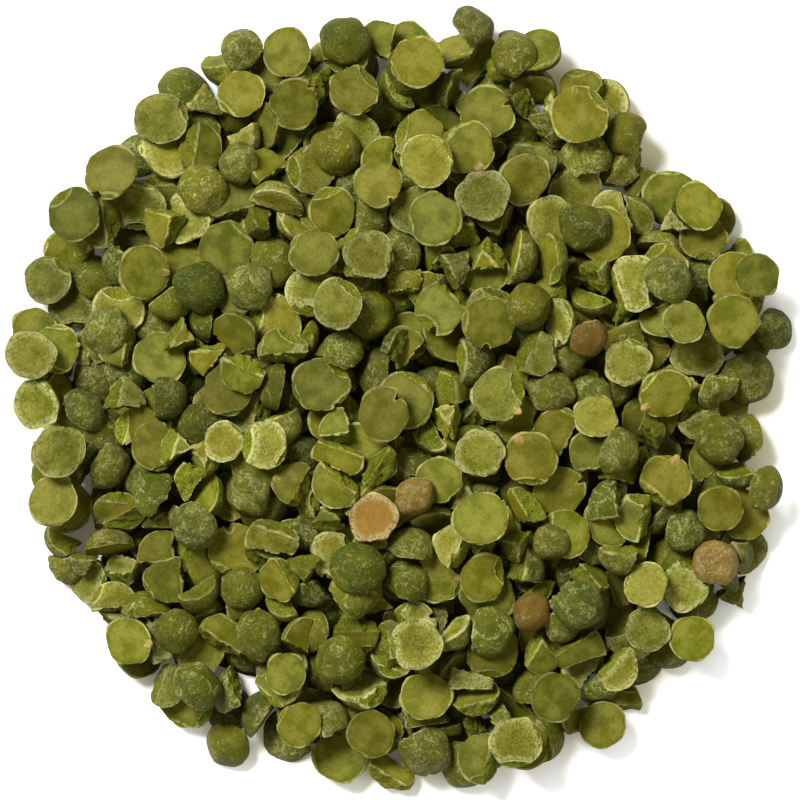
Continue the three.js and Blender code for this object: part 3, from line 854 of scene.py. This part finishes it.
class Shader:
    """Short calls that add and join a material's nodes."""

    def __init__(self, name):
        self.material = bpy.data.materials.new(name)
        self.material.use_nodes = True
        self.tree = self.material.node_tree
        self.skin = self.tree.nodes["Principled BSDF"]

    def node(self, kind, *inputs, **settings):
        """A node with these settings, and its first inputs joined."""
        node = self.tree.nodes.new(kind)
        for name, value in settings.items():
            setattr(node, name, value)
        for value, socket in zip(inputs, node.inputs):
            self.join(value, socket)
        return node

    def join(self, value, socket):
        if isinstance(value, bpy.types.NodeSocket):
            self.tree.links.new(value, socket)
        else:
            socket.default_value = value

    def math(self, operation, *values, clamp=False):
        return self.node("ShaderNodeMath", *values, operation=operation, use_clamp=clamp).outputs[0]

    def chain(self, operation, first, *others):
        """The operation over several values, from the first on."""
        for value in others:
            first = self.math(operation, first, value)
        return first

    def plus(self, *values):
        return self.chain("ADD", *values)

    def times(self, *values):
        return self.chain("MULTIPLY", *values)

    def most(self, *values):
        return self.chain("MAXIMUM", *values)

    def swing(self, value, size, middle=0.5):
        """How far the value is off its middle, times a size."""
        return self.times(self.math("SUBTRACT", value, middle), size)

    def ramp(self, value, low, high, to_low=0.0, to_high=1.0):
        """The value's smooth step from low to high."""
        given = (value, low, high, to_low, to_high)
        return self.node("ShaderNodeMapRange", *given, interpolation_type="SMOOTHSTEP").outputs[0]

    def line(self, value):
        """A thin line where the value passes its middle."""
        off = self.math("ABSOLUTE", self.math("SUBTRACT", value, 0.5))
        return self.ramp(off, 0.0, LINE_WIDTH, 1.0, 0.0)

    def mix(self, share, first, second):
        """From the first colour to the second, by their share."""
        node = self.node("ShaderNodeMix", share, data_type="RGBA")
        for colour, socket in zip((first, second), [s for s in node.inputs if s.type == "RGBA"]):
            self.join(colour, socket)
        return [s for s in node.outputs if s.type == "RGBA"][0]

    def attribute(self, name, output="Fac"):
        return self.node("ShaderNodeAttribute", attribute_name=name).outputs[output]

    def place(self):
        return self.node("ShaderNodeTexCoord").outputs["Object"]

    def noise(self, place, scale, detail=3.0, roughness=0.55, distortion=0.0):
        node = self.node("ShaderNodeTexNoise", place)
        names = ("Scale", "Detail", "Roughness", "Distortion")
        for name, value in zip(names, (scale, detail, roughness, distortion)):
            node.inputs[name].default_value = value
        return node.outputs["Fac"]

    def is_side(self, side, number):
        return self.math("COMPARE", side, float(number), 0.5)

    def rise(self, vector):
        return self.node("ShaderNodeSeparateXYZ", vector).outputs[2]

    def length(self, vector):
        return self.node("ShaderNodeVectorMath", vector, operation="LENGTH").outputs["Value"]

    def paint(self, colour, roughness, specular):
        self.join(colour, self.skin.inputs["Base Color"])
        self.join(roughness, self.skin.inputs["Roughness"])
        self.skin.inputs["Specular IOR Level"].default_value = specular

    def bump(self, height, distance):
        node = self.node("ShaderNodeBump")
        node.inputs["Strength"].default_value = 1.0
        node.inputs["Distance"].default_value = distance
        self.join(height, node.inputs["Height"])
        self.join(node.outputs[0], self.skin.inputs["Normal"])


# ---- The pea's looks, as functions of its shader s and of p, which holds what they find


def read_pea(s, p):
    """What the mesh says of each pea and of its faces."""
    p.unit = s.attribute("unit", "Vector")
    p.look = s.attribute("look", "Color")
    p.tone, p.hue, p.dust = s.node("ShaderNodeSeparateColor", p.look).outputs
    side = s.attribute("side")
    on_bite = s.is_side(side, BITE)
    p.on_dome = s.is_side(side, DOME)
    p.on_break = s.most(s.is_side(side, BREAK), on_bite)
    slope = s.ramp(on_bite, 0, 1, 1, BITE_SLOPE)
    p.crease = s.times(crease_distance(s, p), slope)
    # How far each face turns up to the light: dust, flour, scuffs and the sheen are painted paler on
    # faces turned up, and the sides and undersides are left darker and greener, as painted shade.
    facing_up = s.rise(s.node("ShaderNodeNewGeometry").outputs["Normal"])
    p.lying = s.ramp(facing_up, -0.1, 0.8, 0.2, 1)


def crease_distance(s, p):
    """How far the nearest crease is, in millimetres.

    Of the distances to the flat face, the dome and the nearest break, one is nought, and the
    next is the way to the crease.
    """
    to_face = s.times(s.math("ABSOLUTE", s.rise(p.unit)), PEA_RADIUS * DOME_SHARE)
    off_dome = s.math("SUBTRACT", 1, s.length(p.unit))
    to_dome = s.times(s.math("ABSOLUTE", off_dome), PEA_RADIUS)
    to_cut = s.math("ABSOLUTE", s.attribute("cut"))
    lower, upper = s.math("MINIMUM", to_face, to_dome), s.most(to_face, to_dome)
    return s.most(lower, s.math("MINIMUM", upper, to_cut))


def read_noises(s, p):
    """Each pea's own part of the noises."""
    own = (p.look, NOISE_SPREAD, p.unit)
    place = s.node("ShaderNodeVectorMath", *own, operation="MULTIPLY_ADD").outputs[0]
    for name, settings in NOISES.items():
        setattr(p, name, s.noise(place, *settings))


def find_wear(s, p):
    """Where the pea is pale along its creases, partly chalky wear and partly a painted highlight;
    chalky near its rim; dusted with flour, more on faces turned up to the light as painted light; and
    under a painted sheen.
    """
    # Pale lines along the creases: partly chalky wear, partly a painted highlight.
    ragged = s.plus(p.crease, s.swing(p.mottle, 0.25), s.swing(p.patch, 0.3))
    along = s.ramp(p.fold, 0.32, 0.56, 0.4, 1)
    p.edge = s.times(s.ramp(ragged, 0.08, 0.24, 1, 0), along)
    germ = s.plus(s.attribute("germ"), s.swing(p.mottle, 1.2))
    p.germ = s.ramp(germ, 0.95, 1.3, 0.9, 0)
    near_rim = s.ramp(p.crease, 0.5, 1.1, 1, 0)
    chalky = s.ramp(p.dust, 0.55, 1, 0, 0.75)
    p.chalk = s.times(near_rim, s.ramp(p.mottle, 0.36, 0.56), chalky)
    # Dust, shown more on faces turned up to the light: partly real dust, partly painted light, the
    # sides left darker as painted shade.
    p.dusty = s.times(s.ramp(p.dust, 0.5, 1, 0.25, 0.9), p.lying)
    p.floury = s.times(p.dusty, s.ramp(p.peel, 0.4, 0.54, 0.3, 1))
    # A painted sheen: paler broad patches on faces turned up to the light, away from the creases.
    patchy = s.ramp(p.broad, 0.38, 0.58, 0.15, 1)
    p.film = s.times(patchy, s.ramp(p.crease, 0.2, 0.9), p.lying)


def find_scuffs(s, p):
    """Where the dome's skin is gone, folded or scuffed, the scuffs stronger on faces turned up to the
    light as painted light.

    The dustier a pea, the more of its skin has peeled off, with a pale edge to what is left.
    """
    peeled = s.plus(p.peel, s.swing(p.dust, 0.45, middle=0.45))
    p.bare = s.ramp(peeled, 0.485, 0.515)
    folds = s.times(s.line(p.fold), s.ramp(p.patch, 0.38, 0.52), 0.8)
    p.lines = s.most(folds, s.line(peeled))
    # Scuffs, stronger on faces turned up to the light: partly real wear, partly painted light.
    worn = s.times(
        s.ramp(p.patch, 0.44, 0.6, 0.08, 1),
        s.ramp(p.mottle, 0.4, 0.58, 0.15, 1),
        p.bare,
        s.ramp(p.speck, 0.36, 0.6, 0.3, 0.9),
        s.ramp(p.lying, 0.2, 1, 0.35, 0.85),
    )
    p.worn = s.most(worn, s.times(p.lines, s.ramp(p.mottle, 0.4, 0.55, 0.2, 0.8)))


def flat_colour(s, p, warmth):
    """A painted sheen in patches, and flour, pits and chalk where it has dust; the flour and pits
    show more on faces turned up to the light, as painted light.
    """
    c = p.colours
    flat = s.mix(warmth, c["flat"], c["flat_warm"])
    # The painted sheen.
    flat = s.mix(s.times(p.film, 0.75), flat, c["film"])
    flat = s.mix(s.ramp(p.mottle, 0.36, 0.5, 0.35, 0), flat, c["dome"])
    flour = s.ramp(p.mottle, 0.48, 0.72, 0, 0.5)
    flour = s.most(flour, s.ramp(p.speck, 0.52, 0.64, 0, 0.65))
    flat = s.mix(s.times(flour, p.floury), flat, c["flat_pale"])
    pits = s.times(s.ramp(p.speck, 0.34, 0.46, 0.6, 0), p.floury)
    flat = s.mix(pits, flat, c["dome"])
    return s.mix(p.chalk, flat, c["scuff"])


def dome_colour(s, p, warmth):
    """Darker than the flat face, and pale where its skin is scuffed or gone, the scuffs stronger on
    faces turned up to the light as painted light.
    """
    c = p.colours
    dome = s.mix(warmth, c["dome"], c["dome_warm"])
    specks = s.times(s.ramp(p.speck, 0.5, 0.66, 0, 0.3), p.floury)
    dome = s.mix(specks, dome, c["scuff"])
    # Paler mottles, in the colour of the flat faces' painted sheen.
    dome = s.mix(s.ramp(p.mottle, 0.46, 0.62, 0, 0.25), dome, c["film"])
    return s.mix(p.worn, dome, c["scuff"])


def break_colour(s, p):
    """Raw seed leaf, with pale grains."""
    c = p.colours
    broken = s.mix(s.ramp(p.patch, 0.35, 0.65, 0, 0.6), c["break"], c["flat_warm"])
    return s.mix(s.ramp(p.speck, 0.46, 0.66, 0, 0.55), broken, c["grain"])


def pea_colour(s, p):
    """Each side's own colour, then the pale edges and the nub."""
    warmth = s.math("ADD", p.hue, s.swing(p.broad, 1.2), clamp=True)
    colour = s.mix(p.on_dome, flat_colour(s, p, warmth), dome_colour(s, p, warmth))
    colour = s.mix(p.on_break, colour, break_colour(s, p))
    # The pale edges: partly chalky wear, partly a painted highlight.
    edge = s.times(p.edge, s.ramp(p.dust, 0, 1, 0.55, 0.95))
    colour = s.mix(edge, colour, p.colours["edge"])
    return s.mix(p.germ, colour, p.colours["nub"])


def toned(s, p, colour):
    """The colour, darker or lighter from pea to pea and over each."""
    node = s.node("ShaderNodeHueSaturation")
    uneven = s.plus(p.tone, s.swing(p.broad, 0.9))
    s.join(s.ramp(uneven, 0, 1, DARKEST, LIGHTEST), node.inputs["Value"])
    s.join(colour, node.inputs["Color"])
    return node.outputs[0]


def pea_relief(s, p):
    """Grainy breaks and faces with dust, and a dome that steps down where its skin is gone."""
    grainy = s.plus(s.times(p.patch, 0.7), p.mottle, s.times(p.speck, 0.8), s.times(p.grain, 0.5))
    on_dome = s.times(p.on_dome, s.ramp(p.bare, 0, 1, 0.5, 0.9))
    strength = s.plus(s.times(p.dusty, 0.5), s.times(p.on_break, 0.8))
    grainy = s.times(grainy, s.most(strength, on_dome))
    step = s.math("SUBTRACT", s.times(p.lines, 0.3), s.times(p.bare, 0.35))
    return s.plus(grainy, s.times(step, p.on_dome))


def pea_material(name, colours):
    """A dry split pea: satin flat face with a painted sheen, scuffed dome, grainy breaks, and pale
    edges that are partly chalky wear and partly a painted highlight.
    """
    s = Shader(name)
    p = SimpleNamespace(colours={part: seen(*colour) for part, colour in colours.items()})
    for step in (read_pea, read_noises, find_wear, find_scuffs):
        step(s, p)
    rough = s.most(p.on_break, p.edge, p.worn)
    s.paint(toned(s, p, pea_colour(s, p)), s.ramp(rough, 0, 1, SATIN, FLOURY), 0.09)
    s.skin.inputs["Diffuse Roughness"].default_value = 0.5
    s.bump(pea_relief(s, p), PEA_RELIEF)
    return s.material


def core_material():
    """The dark green crumbs between the lowest peas."""
    s = Shader("pea crumbs")
    clumps = s.noise(s.place(), 420, 4, 0.6)
    s.paint(s.mix(s.ramp(clumps, 0.4, 0.65), seen(*CRUMBS), seen(*PALE_CRUMBS)), 0.95, 0.05)
    s.bump(clumps, CRUMB_RELIEF)
    return s.material


def floor_material():
    """A plain pale table with a faint grain, and a glow that is painted light: faint under the heap,
    and bright and bluish round it, which washes out the heap's cast shadow.
    """
    s = Shader("pale table")
    s.paint(s.mix(s.noise(s.place(), 30, 3), TABLE, TABLE_GRAIN), 0.9, 0.1)
    clear = s.ramp(s.length(s.place()), GLOW_FROM, GLOW_TO)
    s.join(s.mix(clear, SHADED_GLOW, CLEAR_GLOW), s.skin.inputs["Emission Color"])
    s.skin.inputs["Emission Strength"].default_value = 1.0
    return s.material


# ---- The heap's pieces

CORE_DEPTH = 5.6  # the scene's own core, under the heap's surface
CORE_RINGS = 40
CORE_SIDES = 160
CORE_INSET = 6.5  # of the core's edge from the peas' outer edge
CORE_LEAST = 0.25  # the core's least height
CRUMB_HEIGHT = 0.35
EDGE_SEARCH = np.arange(0.8 * HEAP_RADIUS, 1.1 * HEAP_RADIUS, CELL)
SMOOTH_STEPS = np.arange(-6, 7, 1.5)
SMOOTH_WIDTH = 12  # square millimetres


def peas_end(heap, heading):
    """How far out the peas reach on one heading."""
    covered = [heap.height(r * math.cos(heading), r * math.sin(heading)) > 0 for r in EDGE_SEARCH]
    return EDGE_SEARCH[covered].max()


def core_edge(heap):
    """The core's uneven edge, well under the outermost peas."""
    ends = np.array([peas_end(heap, TURN * n / CORE_SIDES) for n in range(CORE_SIDES)])
    least = np.min([np.roll(ends, n) for n in range(-3, 4)], axis=0)
    smooth = np.mean([np.roll(least, n) for n in range(-2, 3)], axis=0)
    return smooth - CORE_INSET


def smoothed(heap, x, y):
    """The heap's height, smoothed over about two peas."""
    total = weights = 0
    for dx in SMOOTH_STEPS:
        for dy in SMOOTH_STEPS:
            weight = math.exp(-(dx * dx + dy * dy) / SMOOTH_WIDTH)
            total += weight * heap.height(x + dx, y + dy)
            weights += weight
    return total / weights


def core_height(heap, x, y):
    """Well under the heap's surface, with small bumps for the crumbs."""
    rough = CRUMB_HEIGHT * math.sin(2.3 * x + 1.7 * y) * math.sin(1.9 * y - 2.1 * x)
    return max(CORE_LEAST, smoothed(heap, x, y) - CORE_DEPTH + rough)


def make_core(heap):
    """The crumbs and small bits under the peas, which close the heap to the light."""
    points, triangles = [(0, 0, core_height(heap, 0, 0))], []
    edge = core_edge(heap)
    for ring in range(1, CORE_RINGS + 1):
        for n in range(CORE_SIDES):
            heading = TURN * n / CORE_SIDES
            r = edge[n] * ring / CORE_RINGS
            x, y = r * math.cos(heading), r * math.sin(heading)
            points.append((x, y, 0 if ring == CORE_RINGS else core_height(heap, x, y)))
    for n in range(CORE_SIDES):
        m = (n + 1) % CORE_SIDES
        triangles.append((0, 1 + n, 1 + m))
        for ring in range(CORE_RINGS - 1):
            inner, outer = 1 + ring * CORE_SIDES, 1 + (ring + 1) * CORE_SIDES
            triangles += [(inner + n, outer + n, outer + m), (inner + n, outer + m, inner + m)]
    points.append((0, 0, 0))
    last = 1 + (CORE_RINGS - 1) * CORE_SIDES
    triangles += [(len(points) - 1, last + (n + 1) % CORE_SIDES, last + n) for n in range(CORE_SIDES)]
    mesh = triangle_mesh("pea_crumbs", np.array(points) * MM, np.array(triangles))
    mesh.materials.append(core_material())
    return add_object("pea_crumbs", mesh)


CLEAN_SHARE = 0.25  # of the peas, with hardly any dust
CLEAN_DUST, OTHER_DUST = (0, 0.3), (0.2, 1)
TONE_MIDDLE, TONE_SPREAD = 0.5, 0.2


def give_looks(heap):
    """Gives each pea its own shade, warmth and dustiness, where they aren't set yet."""
    rng = np.random.default_rng(SEED)
    for piece in heap.pieces:
        dust = rng.uniform(*(CLEAN_DUST if rng.random() < CLEAN_SHARE else OTHER_DUST))
        tone = np.clip(rng.normal(TONE_MIDDLE, TONE_SPREAD), 0, 1)
        look = (tone, rng.random(), dust)
        piece["look"] = piece.get("look") or look


def make_peas(heap):
    """One object for each kind of pea."""
    shown = np.bincount(heap.owner[heap.owner >= 0], minlength=len(heap.pieces))
    green, tan = pea_material("split pea", GREEN), pea_material("tan split pea", TAN)
    groups = {}
    thinner = Thinner()
    for n, piece in enumerate(heap.pieces):
        triangles = FINE_TRIANGLES if shown[n] >= SHOWS_WELL else PLAIN_TRIANGLES
        pea = pea_mesh(thinner, piece, SEED + 10 * n, triangles)
        groups.setdefault(group_of(piece), []).append((piece, *pea))
    thinner.remove()
    return [join_peas(name, peas, tan if name == "tan_peas" else green)
            for name, peas in groups.items()]


heap = pour_heap()
give_looks(heap)
for pea_group in (*make_peas(heap), make_core(heap)):
    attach(pea_group, "root")
    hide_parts("split_pea_heap")

# ---- Floor, light and camera

FLOOR_SIZE = 3.0
bpy.ops.mesh.primitive_plane_add(size=FLOOR_SIZE)
floor = bpy.context.object
floor.name = "floor"
floor.data.materials.append(floor_material())


def area_light(name, place, size, power):
    """A square light that looks at the heap's middle."""
    data = bpy.data.lights.new(name, "AREA")
    data.size = size
    data.energy = power
    light = add_object(name, data)
    light.location = place
    light.rotation_euler = (-Vector(place)).to_track_quat("-Z", "Y").to_euler()


area_light("key", (-0.37, 0.39, 0.73), size=0.3, power=16.8)
area_light("fill", (0.6, -0.3, 0.7), size=0.8, power=2)

WORLD_COLOUR = (1, 0.93, 0.33, 1)
WORLD_STRENGTH = 0.4
world = bpy.data.worlds.new("studio")
world.use_nodes = True
background = world.node_tree.nodes["Background"]
background.inputs["Color"].default_value = WORLD_COLOUR
background.inputs["Strength"].default_value = WORLD_STRENGTH
bpy.context.scene.world = world
bpy.context.scene.view_settings.view_transform = "Standard"

PHOTO_WIDTH = 0.096  # metres that the photo spans at the peas' height
CAMERA_HEIGHT = 0.6
CAMERA_SHIFT = 0.0002
PEAS_PLANE = 0.008
camera_data = bpy.data.cameras.new("camera")
camera_data.lens = camera_data.sensor_width * (CAMERA_HEIGHT - PEAS_PLANE) / PHOTO_WIDTH
camera = add_object("camera", camera_data)
camera.location = (0, CAMERA_SHIFT, CAMERA_HEIGHT)
bpy.context.scene.camera = camera
